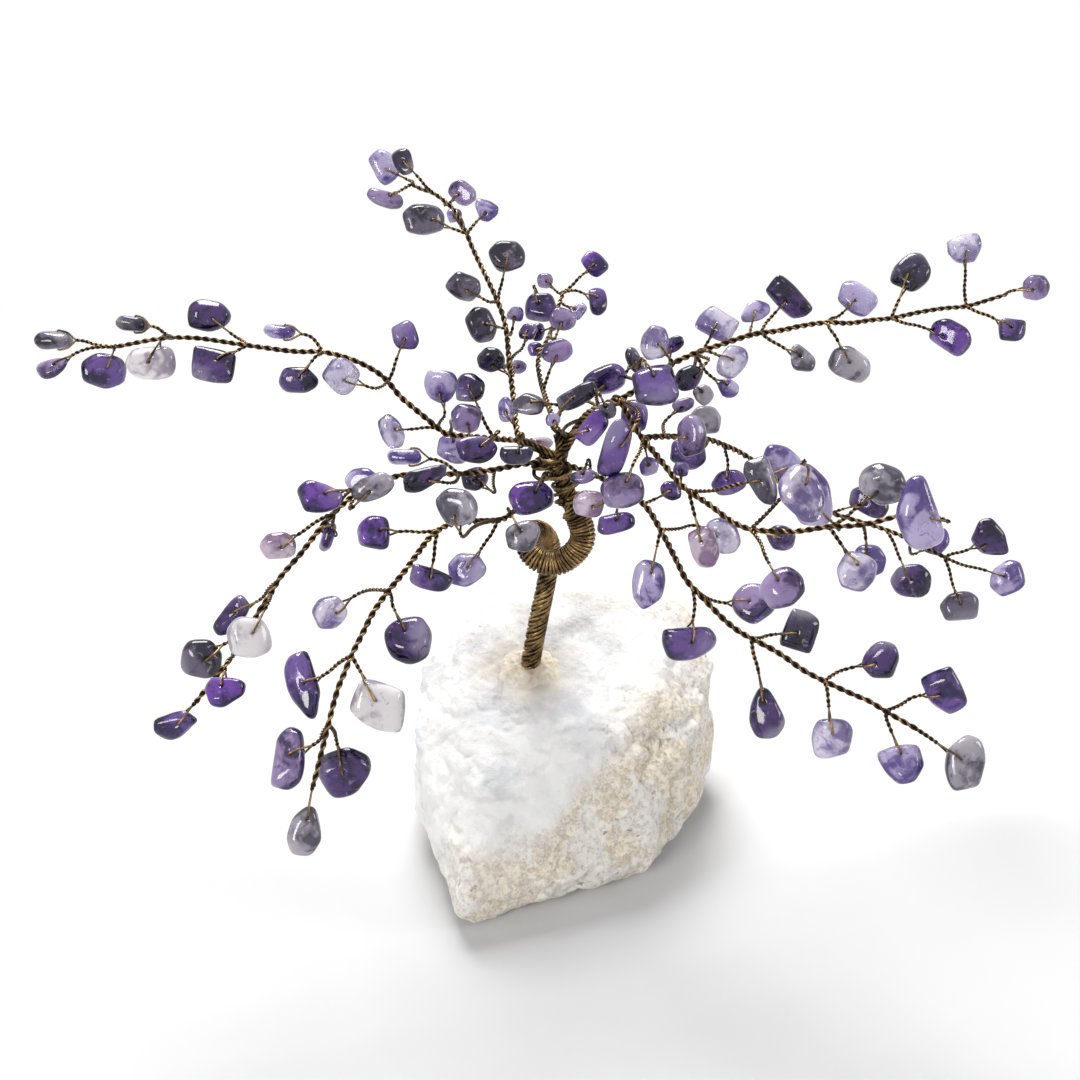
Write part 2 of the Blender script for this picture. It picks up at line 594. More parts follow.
def redOf(colour):
    return nodeFrom("ShaderNodeSeparateColor", {"Color": colour}).outputs["Red"]


# The grain that every material shares: fractal noise at a scale, and the same noise sharpened
# into specks, an eased step from 0.5 to 0.64
def makeGrainGroup():
    group = bpy.data.node_groups.new("surfaceGrain", "ShaderNodeTree")
    scales = ("Scale", "Detail", "Roughness", "Distortion")
    group.interface.new_socket("Place", in_out="INPUT", socket_type="NodeSocketVector")
    for name in scales:
        group.interface.new_socket(name, in_out="INPUT", socket_type="NodeSocketFloat")
    for name in ("Grain", "Specks"):
        group.interface.new_socket(name, in_out="OUTPUT", socket_type="NodeSocketFloat")
    given = group.nodes.new("NodeGroupInput").outputs
    inputs = {"Vector": given["Place"], **{name: given[name] for name in scales}}
    noise = nodeFrom("ShaderNodeTexNoise", inputs).outputs["Fac"]
    setInputs(group.nodes.new("NodeGroupOutput"), {"Grain": noise, "Specks": remap(noise, 0.5, 0.64)})
    return group


def grain(place, scale, detail=3.0, roughness=0.55, distortion=0.0, output="Grain"):
    inputs = {"Place": place, "Scale": scale, "Detail": detail, "Roughness": roughness,
              "Distortion": distortion}
    return nodeFrom("ShaderNodeGroup", inputs, node_tree=surfaceGrain).outputs[output]


def newMaterial(name):
    material = bpy.data.materials.new(name)
    material.use_nodes = True
    tree = material.node_tree
    return material, tree, addNode(tree, "ShaderNodeTexCoord").outputs["Object"]


def surfaced(material, inputs):
    setInputs(material.node_tree.nodes["Principled BSDF"], inputs)
    return material


brassLook = {"patchScale": 260.0, "fineScale": 2200.0, "wornShare": 0.55, "patchShare": 0.55,
             "fineShare": 0.25, "dull": 0.5, "polished": 0.26, "bump": 0.12, "bumpDepth": 0.0001}


# Antique brass: dark in the hollows, and rubbed bright where the sum of wear, patches and fine
# grain passes the material's mark
def brassMaterial(name, bright, dark, mark):
    look = brassLook
    material, tree, place = newMaterial(name)
    patches, fine = grain(place, look["patchScale"]), grain(place, look["fineScale"], 2.0)
    rubbed = plus(times(readValue(tree, "worn"), look["wornShare"]), times(patches, look["patchShare"]),
                  times(fine, look["fineShare"]))
    return surfaced(material, {
        "Base Color": mixColour(remap(rubbed, mark - 0.16, mark + 0.2), dark, bright),
        "Roughness": remap(rubbed, mark - 0.2, mark + 0.2, look["dull"], look["polished"]),
        "Normal": bumped(fine, look["bump"], look["bumpDepth"]),
        "Metallic": 1.0,
    })


stoneLook = {"zoneScale": 165.0, "crackScale": 430.0, "pitScale": 900.0, "zoneShare": 0.7,
             "crackShare": 0.3, "alongShare": 0.24, "rimShare": 0.26, "drillShare": 0.8,
             "milk": (0.85, 0.83, 0.88), "fleck": (0.85, 0.83, 0.87), "shadow": (0.02, 0.01, 0.04),
             "drill": (0.03, 0.02, 0.03), "bump": 0.10, "bumpDepth": 0.0003,
             "gloss": {"IOR": 1.54, "Specular IOR Level": 0.32, "Coat Weight": 0.18, "Coat Roughness": 0.03}}


# Tumbled amethyst: the mesh carries a deep and a pale colour, mixed by zones, fine cracks and a
# slow change along the stone, and deeper at its thin rim. One end turns milky, the cracks hold
# pale flecks and dark lines, and the drilled hole is dark. Through is the share of light let in
def stoneMaterial(name, through):
    look = stoneLook
    material, tree, place = newMaterial(name)
    deep, pale = (readValue(tree, key, "Color") for key in ("stoneDeep", "stonePale"))
    drill, rim, zone = (readValue(tree, key) for key in ("drill", "rim", "zone"))
    zones = grain(place, look["zoneScale"], 2.0, 0.5, 0.9)
    cracks = grain(place, look["crackScale"], 5.0, 0.62, 1.4)
    blend = plus(times(zones, look["zoneShare"]), times(cracks, look["crackShare"]),
                 times(less(zone, 0.5), look["alongShare"]))
    colour = mixColour(remap(less(blend, times(rim, look["rimShare"])), 0.38, 0.56), deep, pale)
    milky = times(remap(plus(zone, times(zones, 0.5)), 0.95, 1.25), 0.4)
    flecks = times(remap(cracks, 0.60, 0.70), 0.4)
    shadows = times(remap(cracks, 0.40, 0.30), 0.55)
    for shown, share, own, added in ((milky, 0.5, pale, "milk"), (flecks, 0.55, pale, "fleck"),
                                     (shadows, 0.5, deep, "shadow")):
        colour = mixColour(shown, colour, mixColour(share, own, look[added]))
    pits = plus(grain(place, look["pitScale"]), times(cracks, 0.6))
    return surfaced(material, {
        "Base Color": mixColour(times(drill, look["drillShare"]), colour, look["drill"]),
        "Roughness": remap(cracks, 0.45, 0.75, 0.05, 0.16),
        "Normal": bumped(pits, look["bump"], look["bumpDepth"]),
        "Transmission Weight": through,
        **look["gloss"],
    })


surfaceGrain = makeGrainGroup()
brass = brassMaterial("antiqueBrass", (0.46, 0.30, 0.13), (0.030, 0.018, 0.011), 0.95)
darkBrass = brassMaterial("antiqueBrassTrunk", (0.48, 0.32, 0.14), (0.026, 0.015, 0.010), 0.98)
amethyst = [stoneMaterial("amethystDense", 0.1), stoneMaterial("amethystHalfClear", 0.35),
            stoneMaterial("amethystClear", 0.6)]
clearMarks = (0.3, 0.6)  # a shade at least this clear takes the second or the third of them
print("materials made")

# Chips

shades = {
    "black": {"deep": (0.004, 0.002, 0.010), "pale": (0.038, 0.026, 0.070), "clear": 0.15},
    "dark": {"deep": (0.005, 0.001, 0.022), "pale": (0.070, 0.030, 0.155), "clear": 0.25},
    "slate": {"deep": (0.014, 0.011, 0.026), "pale": (0.130, 0.108, 0.165), "clear": 0.25},
    "violet": {"deep": (0.010, 0.002, 0.052), "pale": (0.155, 0.078, 0.335), "clear": 0.45},
    "vivid": {"deep": (0.010, 0.001, 0.066), "pale": (0.175, 0.052, 0.410), "clear": 0.45},
    "mauve": {"deep": (0.045, 0.024, 0.100), "pale": (0.350, 0.250, 0.490), "clear": 0.45},
    "lilac": {"deep": (0.095, 0.055, 0.250), "pale": (0.540, 0.460, 0.730), "clear": 0.50},
    "clear": {"deep": (0.190, 0.140, 0.340), "pale": (0.760, 0.710, 0.850), "clear": 0.80},
    "smoky": {"deep": (0.075, 0.065, 0.100), "pale": (0.420, 0.380, 0.450), "clear": 0.50},
    "milk": {"deep": (0.330, 0.280, 0.350), "pale": (0.760, 0.720, 0.730), "clear": 0.25},
    "rose": {"deep": (0.250, 0.150, 0.270), "pale": (0.720, 0.590, 0.710), "clear": 0.50},
}
chipSettings = {
    "tilt": 24.0, "turn": 14.0, "edgeTilt": 82.0, "edgeWidth": 0.72, "holeShare": 0.22,
    "hangingShare": 0.42, "twigGap": 0.5, "hangingGap": 2.0, "twigWidth": 0.95, "bow": 0.07,
    "thickness": {"pebble": 0.56, "bean": 0.62, "drop": 0.55, "wedge": 0.5, "block": 0.5, "disc": 0.46},
    "sharpness": {"pebble": 11.0, "bean": 10.0, "drop": 11.0, "wedge": 14.0, "block": 15.0, "disc": 11.0,
                  "edge": 10.0},
    "chippedReach": (0.76, 0.90), "sideTip": 0.16, "flatTip": 0.12, "bevel": (32.0, 60.0),
    "bevelReach": (0.70, 0.92), "lumpCell": 2.2, "lumpDepth": 0.05, "dent": 0.62, "dentDepth": 0.9,
    "drillShade": 1.6, "rimHeight": 0.62, "detail": 14,
}


# Where one chip lies, how it is turned, and where its hole and the end of its twig are
def layChip(leaf, fork, order, hanging=False):
    _, column, row, depth, longPixels, shortPixels, lean, kind, _, shade = leaf
    chip = chipSettings
    onEdge = kind == "edge"
    _, reach = rayAndReach(column, row, depth * view["depthSpread"])
    size = pixelSize * reach / view["focal"]
    centre = place(column, row, depth * view["depthSpread"])
    longAxis = rightward * np.cos(np.radians(lean)) + upward * np.sin(np.radians(lean))
    tilt = np.radians(chip["edgeTilt"] if onEdge else chip["tilt"] * np.sin(2.4 * order))
    turn = np.radians(0.0 if onEdge or hanging else chip["turn"] * np.cos(1.7 * order))
    normal = toCamera * np.cos(tilt) + np.cross(toCamera, longAxis) * np.sin(tilt)
    axis = longAxis * np.cos(turn) + normal * np.sin(turn)
    normal = normal * np.cos(turn) - longAxis * np.sin(turn)
    side = np.cross(normal, axis)
    length = longPixels * size / np.cos(turn)
    if onEdge:
        width, thickness = chip["edgeWidth"] * length, shortPixels * size
    else:
        width, thickness = shortPixels * size / np.cos(tilt), chip["thickness"][kind] * shortPixels * size
    corners = np.array(outlineShares[kind]) * [length / 2, width / 2]
    toFork = fork - centre
    heading = unit(np.array([toFork @ axis, toFork @ side]))
    holeAt = chip["hangingShare" if hanging else "holeShare"] * outlineReach(corners, heading)
    rim = outlineReach(corners, heading, heading * holeAt)
    outward = axis * heading[0] + side * heading[1]
    hole = centre + outward * holeAt
    gap = chip["hangingGap" if hanging else "twigGap"] + chip["twigWidth"] / 2
    return {"centre": centre, "axes": np.array([axis, side, normal]), "corners": corners,
            "thickness": thickness, "half": np.array([length, width, thickness]) / 2, "holeAt": holeAt,
            "heading": heading, "outward": outward, "kind": kind, "shade": shades[shade], "fork": fork,
            "order": order, "twigEnd": hole + outward * (rim + gap)}


# The facets of a chip: its outline's sides and two chipped corners, its two flats, tipped a
# little, and a bevel above and below each side, as directions and distances from the middle
def chipFacets(laid):
    chip = chipSettings
    chance = np.random.default_rng(laid["order"])
    corners = laid["corners"]
    sides = np.roll(corners, -1, axis=0) - corners
    outwards = unit(np.stack([sides[:, 1], -sides[:, 0]], axis=1))
    distances = np.sum(outwards * corners, axis=1)
    outwards = outwards * np.sign(distances)[:, None]
    half = laid["thickness"] / 2
    chipped = chance.uniform(0, 2 * np.pi, 2)
    chipped = np.stack([np.cos(chipped), np.sin(chipped)], axis=1)
    chippedDistances = (corners @ chipped.T).max(axis=0) * chance.uniform(*chip["chippedReach"], 2)
    outwards = np.vstack([outwards, chipped])
    distances = np.concatenate([np.abs(distances), chippedDistances])
    count = len(distances)
    normals = [np.column_stack([outwards, chance.uniform(-chip["sideTip"], chip["sideTip"], count)])]
    heights = [distances]
    for face in (1.0, -1.0):
        normals.append(np.array([[*chance.uniform(-chip["flatTip"], chip["flatTip"], 2), face]]))
        heights.append(np.array([half]))
        rise = np.radians(chance.uniform(*chip["bevel"], count))
        normals.append(np.column_stack([outwards * np.cos(rise)[:, None], face * np.sin(rise)]))
        reach = distances * np.cos(rise) + half * np.sin(rise)
        heights.append(reach * chance.uniform(*chip["bevelReach"], count))
    return unit(np.vstack(normals)), np.concatenate(heights)


# The chip's surface in a direction: (sum over facets of (direction . facet / distance)^p)^(-1/p),
# which rounds the facets into each other
def chipReach(laid, facets, directions):
    normals, heights = facets
    pulls = np.maximum(directions @ normals.T / heights, 1e-6)
    sharp = chipSettings["sharpness"][laid["kind"]]
    return np.sum(pulls ** sharp, axis=1) ** (-1.0 / sharp)


# A ball as a grid on each of a cube's six sides: direction = unit(side + tan(u) * across +
# tan(v) * along), u and v from -45 to 45 degrees, with the points on the seams joined
def ballGrid(count):
    even = np.tan(np.radians(np.linspace(-45.0, 45.0, count + 1)))
    across, along = np.meshgrid(even, even, indexing="ij")
    sheets = []
    for axis in range(3):
        for side in (-1.0, 1.0):
            sheet = np.empty((count + 1, count + 1, 3))
            sheet[..., axis] = side
            sheet[..., (axis + 1) % 3] = across * side
            sheet[..., (axis + 2) % 3] = along
            sheets.append(unit(sheet).reshape(-1, 3))
    points, spots = np.unique(np.round(np.vstack(sheets), 6), axis=0, return_inverse=True)
    start = (np.arange(count)[:, None] * (count + 1) + np.arange(count)[None, :]).ravel()
    quads = np.column_stack([start, start + count + 1, start + count + 2, start + 1])
    faces = np.vstack([quads + number * (count + 1) ** 2 for number in range(6)])
    return unit(points), spots.ravel()[faces]


ballPoints, ballFaces = ballGrid(chipSettings["detail"])


# One chip: the ball's points stretched to its size, moved onto its facets, lumped by a slow
# noise and dented round its drilled hole by depth * (1 - (r / R)^2)^2. Its zone is the distance
# along a direction of its own, from 0 to 1, and its rim is 1 halfway between the flats
def chipMesh(laid):
    chip = chipSettings
    thin = laid["half"][2]
    directions = unit(ballPoints * laid["half"])
    local = directions * chipReach(laid, chipFacets(laid), directions)[:, None]
    lump = latticeNoise(local + 7.0 * laid["order"], chip["lumpCell"], laid["order"])
    local = local * (1 - chip["lumpDepth"] * lump[:, None])
    away = np.linalg.norm(local[:, :2] - laid["heading"] * laid["holeAt"], axis=1) / chip["dent"]
    onFlat = np.abs(local[:, 2]) > 0.25 * thin
    dent = np.where((away < 1) & onFlat, (1 - away ** 2) ** 2, 0.0)
    local[:, 2] -= np.sign(local[:, 2]) * dent * chip["dentDepth"]
    zoning = unit(np.random.default_rng(laid["order"] + 500).normal(size=3) * [1.0, 1.0, 0.5])
    zone = local @ zoning / np.abs(local @ zoning).max()
    values = {key: np.tile([*laid["shade"][name], 1.0], (len(local), 1))
              for key, name in (("stoneDeep", "deep"), ("stonePale", "pale"))}
    values["drill"] = np.clip(dent * chip["drillShade"], 0, 1)
    values["zone"] = 0.5 + 0.5 * zone
    values["rim"] = np.clip(1.0 - np.abs(local[:, 2]) / (chip["rimHeight"] * thin), 0, 1)
    return (laid["centre"] + local @ laid["axes"], ballFaces), values


# Wires: the strands' number, their radius and distance from the bundle's middle, and the taper
# from one end to the other. Bend is how far a branch's bend reaches to each side of its middle
twigWire = {"strands": 2, "radius": 0.25, "bundle": 0.23, "pitch": 2.5, "sides": 6, "taper": (1.05, 0.9),
            "stray": 0.0, "step": 0.2}
mainWire = {"strands": 2, "radius": 0.41, "bundle": 0.40, "pitch": 4.2, "sides": 8, "taper": (1.0, 0.72),
            "stray": 0.0, "step": 0.35, "bend": 3.0}
limbWire = {"strands": 5, "radius": 0.42, "bundle": 0.72, "pitch": 7.0, "sides": 7, "taper": (1.0, 1.0),
            "stray": 0.0, "step": 0.35}
neckWire = {"strands": 7, "radius": 0.50, "bundle": 1.15, "pitch": 9.0, "sides": 8, "taper": (1.0, 1.0),
            "stray": 0.0, "step": 0.35}
loopWire = {"radius": 0.24, "sides": 6, "clearance": 0.34, "from": 22.0, "to": 88.0, "steps": 23,
            "holeEdge": 0.3, "sunk": 0.4, "step": 0.22}


# A loop that follows the chip's skin from the twig's end over the front, through the hole and
# back behind it: each point is the skin's distance + a clearance in a direction of the plane
# through the chip's middle, hole and twig
def loopLine(laid):
    loop = loopWire
    facets = chipFacets(laid)
    plane = np.array([[*laid["heading"], 0.0], [0.0, 0.0, 1.0]])
    angles = np.radians(np.linspace(loop["from"], loop["to"], loop["steps"]))
    hole = plane[0] * laid["holeAt"]
    halves = []
    for face in (1.0, -1.0):
        directions = np.column_stack([np.cos(angles), face * np.sin(angles)]) @ plane
        points = directions * (chipReach(laid, facets, directions) + loop["clearance"])[:, None]
        kept = points[points @ plane[0] > laid["holeAt"] + loop["holeEdge"]]
        top = hole + plane[1] * face * (np.abs(kept[-1, 2]) - loop["clearance"] * loop["sunk"])
        halves.append(np.vstack([kept, top]))
    end = (laid["twigEnd"] - laid["centre"]) @ laid["axes"].T
    line = np.vstack([[end], halves[0], [hole], halves[1][::-1], [end]])
    return smoothed(laid["centre"] + line @ laid["axes"], loop["step"])


# A twig from the main wire to the chip, bowed a little where it is long, and its loop
def twigMeshes(laid):
    end = laid["twigEnd"]
    lead = end + laid["outward"] * 2 * chipSettings["twigWidth"]
    run = lead - laid["fork"]
    reach = np.linalg.norm(run)
    points = [laid["fork"], lead, end]
    if reach > 4 * chipSettings["twigWidth"]:
        bow = unit(np.cross(run, toCamera)) * chipSettings["bow"] * reach * (-1) ** laid["order"]
        points.insert(1, laid["fork"] + run * 0.5 + bow)
    meshes = twistedMeshes(smoothed(np.array(points), twigWire["step"]), twigWire, 1.3 * laid["order"])
    side = laid["axes"][0] * -laid["heading"][1] + laid["axes"][1] * laid["heading"][0]
    return meshes + [tubeMesh(loopLine(laid), loopWire["radius"], loopWire["sides"], side)]


innerPoints = {key: route(pixels) for key, pixels in innerRoutes.items()}
outerPoints = {key: route(pixels) for key, pixels in outerRoutes.items()}
innerPoints["limb"] = route(rightLimbRoute)

# Every chip in its place: the nodes that it and its twig stand for, and the bodies that carry them
layout = []
for table, points in ((innerChips, innerPoints), (outerChips, outerPoints)):
    for key, leaves in table.items():
        group, body = ("crown", "tree") if table is innerChips else ("branch_" + key, "branch_" + key)
        for leaf in leaves:
            laid = layChip(leaf, cornerPoint(points[key], leaf[0]), len(layout) + 1)
            layout.append((group + "_" + leaf[8] + "_chips", group + "_twigs", body, body, laid))
for name, (key, leaf) in hangingChips.items():
    inside = key.endswith("_inner")
    points = innerPoints[key[0]] if inside else outerPoints[key]
    laid = layChip(leaf, cornerPoint(points, leaf[0]), len(layout) + 1, hanging=True)
    group = "crown" if inside else "branch_" + key
    layout.append((name, group + "_twigs", name, "tree" if inside else group, laid))

chipGroups = {}
twigGroups = {}
for chipNode, twigNode, chipBody, twigBody, laid in layout:
    chipGroups.setdefault((chipNode, chipBody), []).append(laid)
    twigGroups.setdefault((twigNode, twigBody), []).append(laid)

for (node, body), stones in chipGroups.items():
    made = [chipMesh(laid) for laid in stones]
    values = {key: np.concatenate([value[key] for _, value in made]) for key in made[0][1]}
    piece = joinMeshes(node.replace("_", "-"), [mesh for mesh, _ in made], amethyst[0], body, values)
    piece.data.materials.append(amethyst[1])
    piece.data.materials.append(amethyst[2])
    levels = [np.searchsorted(clearMarks, laid["shade"]["clear"], side="right") for laid in stones]
    piece.data.polygons.foreach_set("material_index", np.repeat(levels, len(ballFaces)).astype(np.int32))
    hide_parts(node)
print("chips made:", len(layout))

for (node, body), stones in twigGroups.items():
    meshes = [mesh for laid in stones for mesh in twigMeshes(laid)]
    piece = joinMeshes(node.replace("_", "-"), meshes, brass, body)
    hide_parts(node)
print("twigs made")

# Main wires: one twisted bundle a branch from the crown to its tip, which bends with the branch
for key, outer in outerPoints.items():
    line = smoothed(np.vstack([innerPoints[key], outer[1:]]), mainWire["step"])
    piece = joinMeshes("branch-" + key + "-bundle", twistedMeshes(line, mainWire, ord(key) * 0.7), brass)
    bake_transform(piece)
    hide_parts("branch_" + key + "_wire")
print("branch wires made")

# The neck, both limbs and the untidy knot of wires where the branches part
knot = {"place": (549, 466, 0), "turns": 6, "radius": 3.0, "waves": 0.16, "sizes": (0.8, 1.15), "wire": 0.46,
        "sides": 8, "lean": 0.45, "lift": 1.98, "turnShare": 0.93, "steps": 60, "seed": 5}
neckLine = smoothed(np.vstack([route(trunkRoute)[-2:-1], route(neckRoute)]), neckWire["step"])
meshes = twistedMeshes(neckLine, neckWire)
for pixels in (leftLimbRoute, rightLimbRoute):
    limb = np.vstack([neckLine[len(neckLine) // 2][None], route(pixels)[1:]])
    meshes += twistedMeshes(smoothed(limb, limbWire["step"]), limbWire)
chance = np.random.default_rng(knot["seed"])
angle = np.linspace(0, 2 * np.pi * knot["turnShare"], knot["steps"])[:, None]
for turn in range(knot["turns"]):
    lift = chance.uniform(-knot["lift"], knot["lift"])
    axis = unit(np.array([0.1, 0.1, 1.0]) + chance.uniform(-knot["lean"], knot["lean"], 3))
    first = unit(np.cross(axis, rightward))
    second = np.cross(axis, first)
    wave = knot["radius"] * (1 + knot["waves"] * np.sin(3 * angle + turn)) * chance.uniform(*knot["sizes"])
    ring = (place(*knot["place"]) + first * np.cos(angle) * wave + second * np.sin(angle) * wave
            + upward * lift)
    meshes.append(tubeMesh(ring, knot["wire"], knot["sides"], axis))
piece = joinMeshes("crown-wires", meshes, darkBrass, "tree")
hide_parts("crown_branch_wires")
print("crown wires made")

# Trunk: a bundle of strands laid at a slant, a tight wrap round its curl, and a loose one above
trunk = {"sink": 9.0, "core": 1.7, "coreSides": 16, "step": 0.3,
         "strands": {"strands": 14, "radius": 0.42, "bundle": 2.04, "pitch": 11.6, "sides": 8,
                     "taper": (1.0, 0.86), "stray": 0.26},
         "curl": {"from": 0.33, "to": 0.84, "pitch": 0.74, "radius": 0.36, "bundle": 2.70, "wander": 0.10},
         "top": {"from": 0.82, "to": 0.97, "pitch": 1.25, "radius": 0.45, "bundle": 2.75, "wander": 1.0},
         "wrapSides": 7, "wrapSteps": 22}
trunkPoints = route([(column, row, depth / view["depthSpread"]) for column, row, depth in trunkRoute])
mouth = np.array(view["mouth"])
foot = mouth - unit(trunkPoints[0] - mouth) * trunk["sink"]
trunkLine = smoothed(np.vstack([foot, trunkPoints]), trunk["step"])
meshes = [tubeMesh(trunkLine, trunk["core"], trunk["coreSides"])] + twistedMeshes(trunkLine, trunk["strands"])
piece = joinMeshes("trunk-strands", meshes, darkBrass, "tree")
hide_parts("trunk_core", "lower_winding")


# One wire wound round a stretch of the trunk: centre line + radius at the angle 2 pi * length
# / pitch. The centre slides by wander * pitch * sin(0.37 * angle) along the trunk, and the radius
# grows by the share 0.12 * wander * sin(0.61 * angle + 1)
def windingMesh(wrap):
    marks = lengths(trunkLine)
    low, high = (trunk["sink"] + wrap[end] * (marks[-1] - trunk["sink"]) for end in ("from", "to"))
    along = np.linspace(low, high, int((high - low) / wrap["pitch"] * trunk["wrapSteps"]))
    angle = 2 * np.pi * (along - low) / wrap["pitch"]
    centre = readAt(along + wrap["wander"] * np.sin(angle * 0.37) * wrap["pitch"], marks, trunkLine)
    first, second = (unit(readAt(along, marks, rows)) for rows in squareTo(trunkLine)[1:])
    radius = wrap["bundle"] * (1 + wrap["wander"] * 0.12 * np.sin(angle * 0.61 + 1.0))
    line = centre + radius[:, None] * (np.cos(angle)[:, None] * first + np.sin(angle)[:, None] * second)
    return tubeMesh(line, wrap["radius"], trunk["wrapSides"], unit(np.gradient(centre, axis=0)), centre,
                    radius + wrap["radius"])


piece = joinMeshes("curl-wrap", [windingMesh(trunk["curl"])], brass, "tree")
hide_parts("curl_winding")
piece = joinMeshes("crown-wrap", [windingMesh(trunk["top"])], brass, "tree")
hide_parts("crown_winding")
print("trunk made")

# Rock: four outlines in plan, as shares of the width and depth, at shares of the height and with
# slopes up to the back. Marks are where the skin meets the underside's middle, the outlines and
# the top's middle. Each noise has a cell in millimetres and a seed
rock = {"width": 78.0, "depth": 80.0, "height": 53.0, "around": 380,
        "levels": 190, "heights": (0.0, 0.19, 0.60, 0.80), "slopes": (0.0, 0.0, 0.42, 0.33),
        "marks": (0.0, 0.16, 0.26, 0.52, 0.70, 1.0), "cornerShare": 0.0065, "edgeShare": 0.017,
        "fullShare": 1.07, "heart": (0.0, 4.0, 22.26), "lumps": 1.8, "ridges": 2.0, "grit": 0.55,
        "wornFoot": 6.0,
        "noise": {"lumps": (15.0, 3), "ridges": (7.0, 11), "smallRidges": (3.2, 17), "grit": (1.1, 23),
                  "rough": (22.0, 31), "foot": (13.0, 37)}}
rockOutlines = [
    [(-0.31, -0.46), (-0.05, -0.375), (0.22, -0.24), (0.375, 0.0), (0.425, 0.225), (0.35, 0.425),
     (0.065, 0.485), (-0.245, 0.425), (-0.425, 0.225), (-0.40, -0.025), (-0.35, -0.30)],
    [(-0.315, -0.485), (-0.04, -0.41), (0.245, -0.27), (0.41, -0.02), (0.475, 0.235), (0.39, 0.45),
     (0.075, 0.50), (-0.27, 0.45), (-0.475, 0.235), (-0.485, -0.025), (-0.365, -0.325)],
    [(-0.305, -0.46), (-0.04, -0.375), (0.23, -0.245), (0.40, -0.01), (0.46, 0.235), (0.37, 0.43),
     (0.07, 0.475), (-0.25, 0.42), (-0.45, 0.225), (-0.475, -0.02), (-0.355, -0.31)],
    [(-0.26, -0.29), (-0.07, -0.26), (0.14, -0.15), (0.285, 0.03), (0.32, 0.20), (0.21, 0.32),
     (0.01, 0.375), (-0.18, 0.34), (-0.32, 0.19), (-0.33, -0.02), (-0.30, -0.19)],
]


# The running mean of a closed row of values, taken twice over so many neighbours to each side
def evened(values, reach):
    weights = np.ones(2 * reach + 1) / (2 * reach + 1)
    for _ in range(2):
        values = np.convolve(np.concatenate([values[-reach:], values, values[:reach]]), weights, "valid")
    return values


# The rock: straight from mark to mark, each outline's corners evened round it, then a running
# mean over neighbouring levels, which rounds the edges. Every point is drawn towards the heart
# by lumps + roughness * (ridges^1.5 + grit), and more in the lowest millimetres, worn away as
# (1 - z / height of the worn foot)^2
def rockMesh():
    def noise(key, upright=1.0):
        return latticeNoise(points * [1.0, 1.0, upright], *rock["noise"][key])

    angles = np.linspace(0, 2 * np.pi, rock["around"], endpoint=False)
    directions = np.stack([np.cos(angles), np.sin(angles)], axis=1)
    rings = []
    for outline, slope, height in zip(rockOutlines, rock["slopes"], rock["heights"]):
        reach = outlineReach(np.array(outline) * [rock["width"], rock["depth"]], directions)
        reach = evened(reach, int(rock["around"] * rock["cornerShare"])) * rock["fullShare"]
        plan = directions * reach[:, None]
        rings.append(np.column_stack([plan, height * rock["height"] + slope * plan[:, 1]]))
    bottom = np.zeros((1, 3))
    top = np.array([[0.0, 0.0, rock["heights"][3] * rock["height"]]])
    marks = np.array(rock["marks"])
    stack = np.array([bottom + 0 * rings[0], *rings, top + 0 * rings[0]])
    levels = np.linspace(0, 1, rock["levels"])
    spot = np.clip(np.searchsorted(marks, levels, side="right") - 1, 0, len(marks) - 2)
    share = ((levels - marks[spot]) / (marks[spot + 1] - marks[spot]))[:, None, None]
    surface = stack[spot] * (1 - share) + stack[spot + 1] * share
    reach = int(len(levels) * rock["edgeShare"])
    padded = np.concatenate([surface[:1].repeat(reach, axis=0), surface, surface[-1:].repeat(reach, axis=0)])
    surface = sum(padded[step:step + len(levels)] for step in range(2 * reach + 1)) / (2 * reach + 1)
    points = np.vstack([bottom, surface[1:-1].reshape(-1, 3), top])
    ridge = 1 - np.abs(2 * noise("ridges", 1.5) - 1)
    ridge += 0.5 * (1 - np.abs(2 * noise("smallRidges") - 1))
    rough = 0.45 + 0.85 * noise("rough")
    inset = (rock["lumps"] * noise("lumps") + rock["ridges"] * rough * np.clip(ridge - 0.5, 0, 1) ** 1.5
             + rock["grit"] * noise("grit") * rough)
    worn = np.clip(1 - points[:, 2] / rock["wornFoot"], 0, 1) ** 2 * (0.6 + 1.3 * noise("foot", 0.3))
    underside = points[:, 2] <= 0
    points = points + unit(np.array(rock["heart"]) - points) * (inset + worn)[:, None]
    points[:, 2] = np.where(underside, 0.0, np.maximum(points[:, 2], 0.0))
    return points, skinFaces(len(levels) - 2, rock["around"])


quartzLook = {"wideScale": 34.0, "cloudScale": 88.0, "fineScale": 420.0, "speckleScale": 1500.0,
              "speckScale": 760.0, "crystalScale": 120.0, "holeScale": 330.0, "shift": 0.007,
              "milk": (0.93, 0.925, 0.91), "glassy": (0.68, 0.69, 0.71), "veil": (0.80, 0.79, 0.78),
              "tan": (0.50, 0.38, 0.24), "cream": (0.88, 0.80, 0.65), "chalk": (0.95, 0.92, 0.86),
              "powder": (0.90, 0.90, 0.90), "specks": (0.38, 0.27, 0.16), "pits": (0.16, 0.12, 0.08),
              "holes": (0.17, 0.13, 0.09), "stain": (0.60, 0.50, 0.36), "bump": 0.6, "bumpDepth": 0.0014,
              "inside": {"Subsurface Weight": 0.25, "Subsurface Radius": (1.0, 0.95, 0.9),
                         "Subsurface Scale": 0.004}}


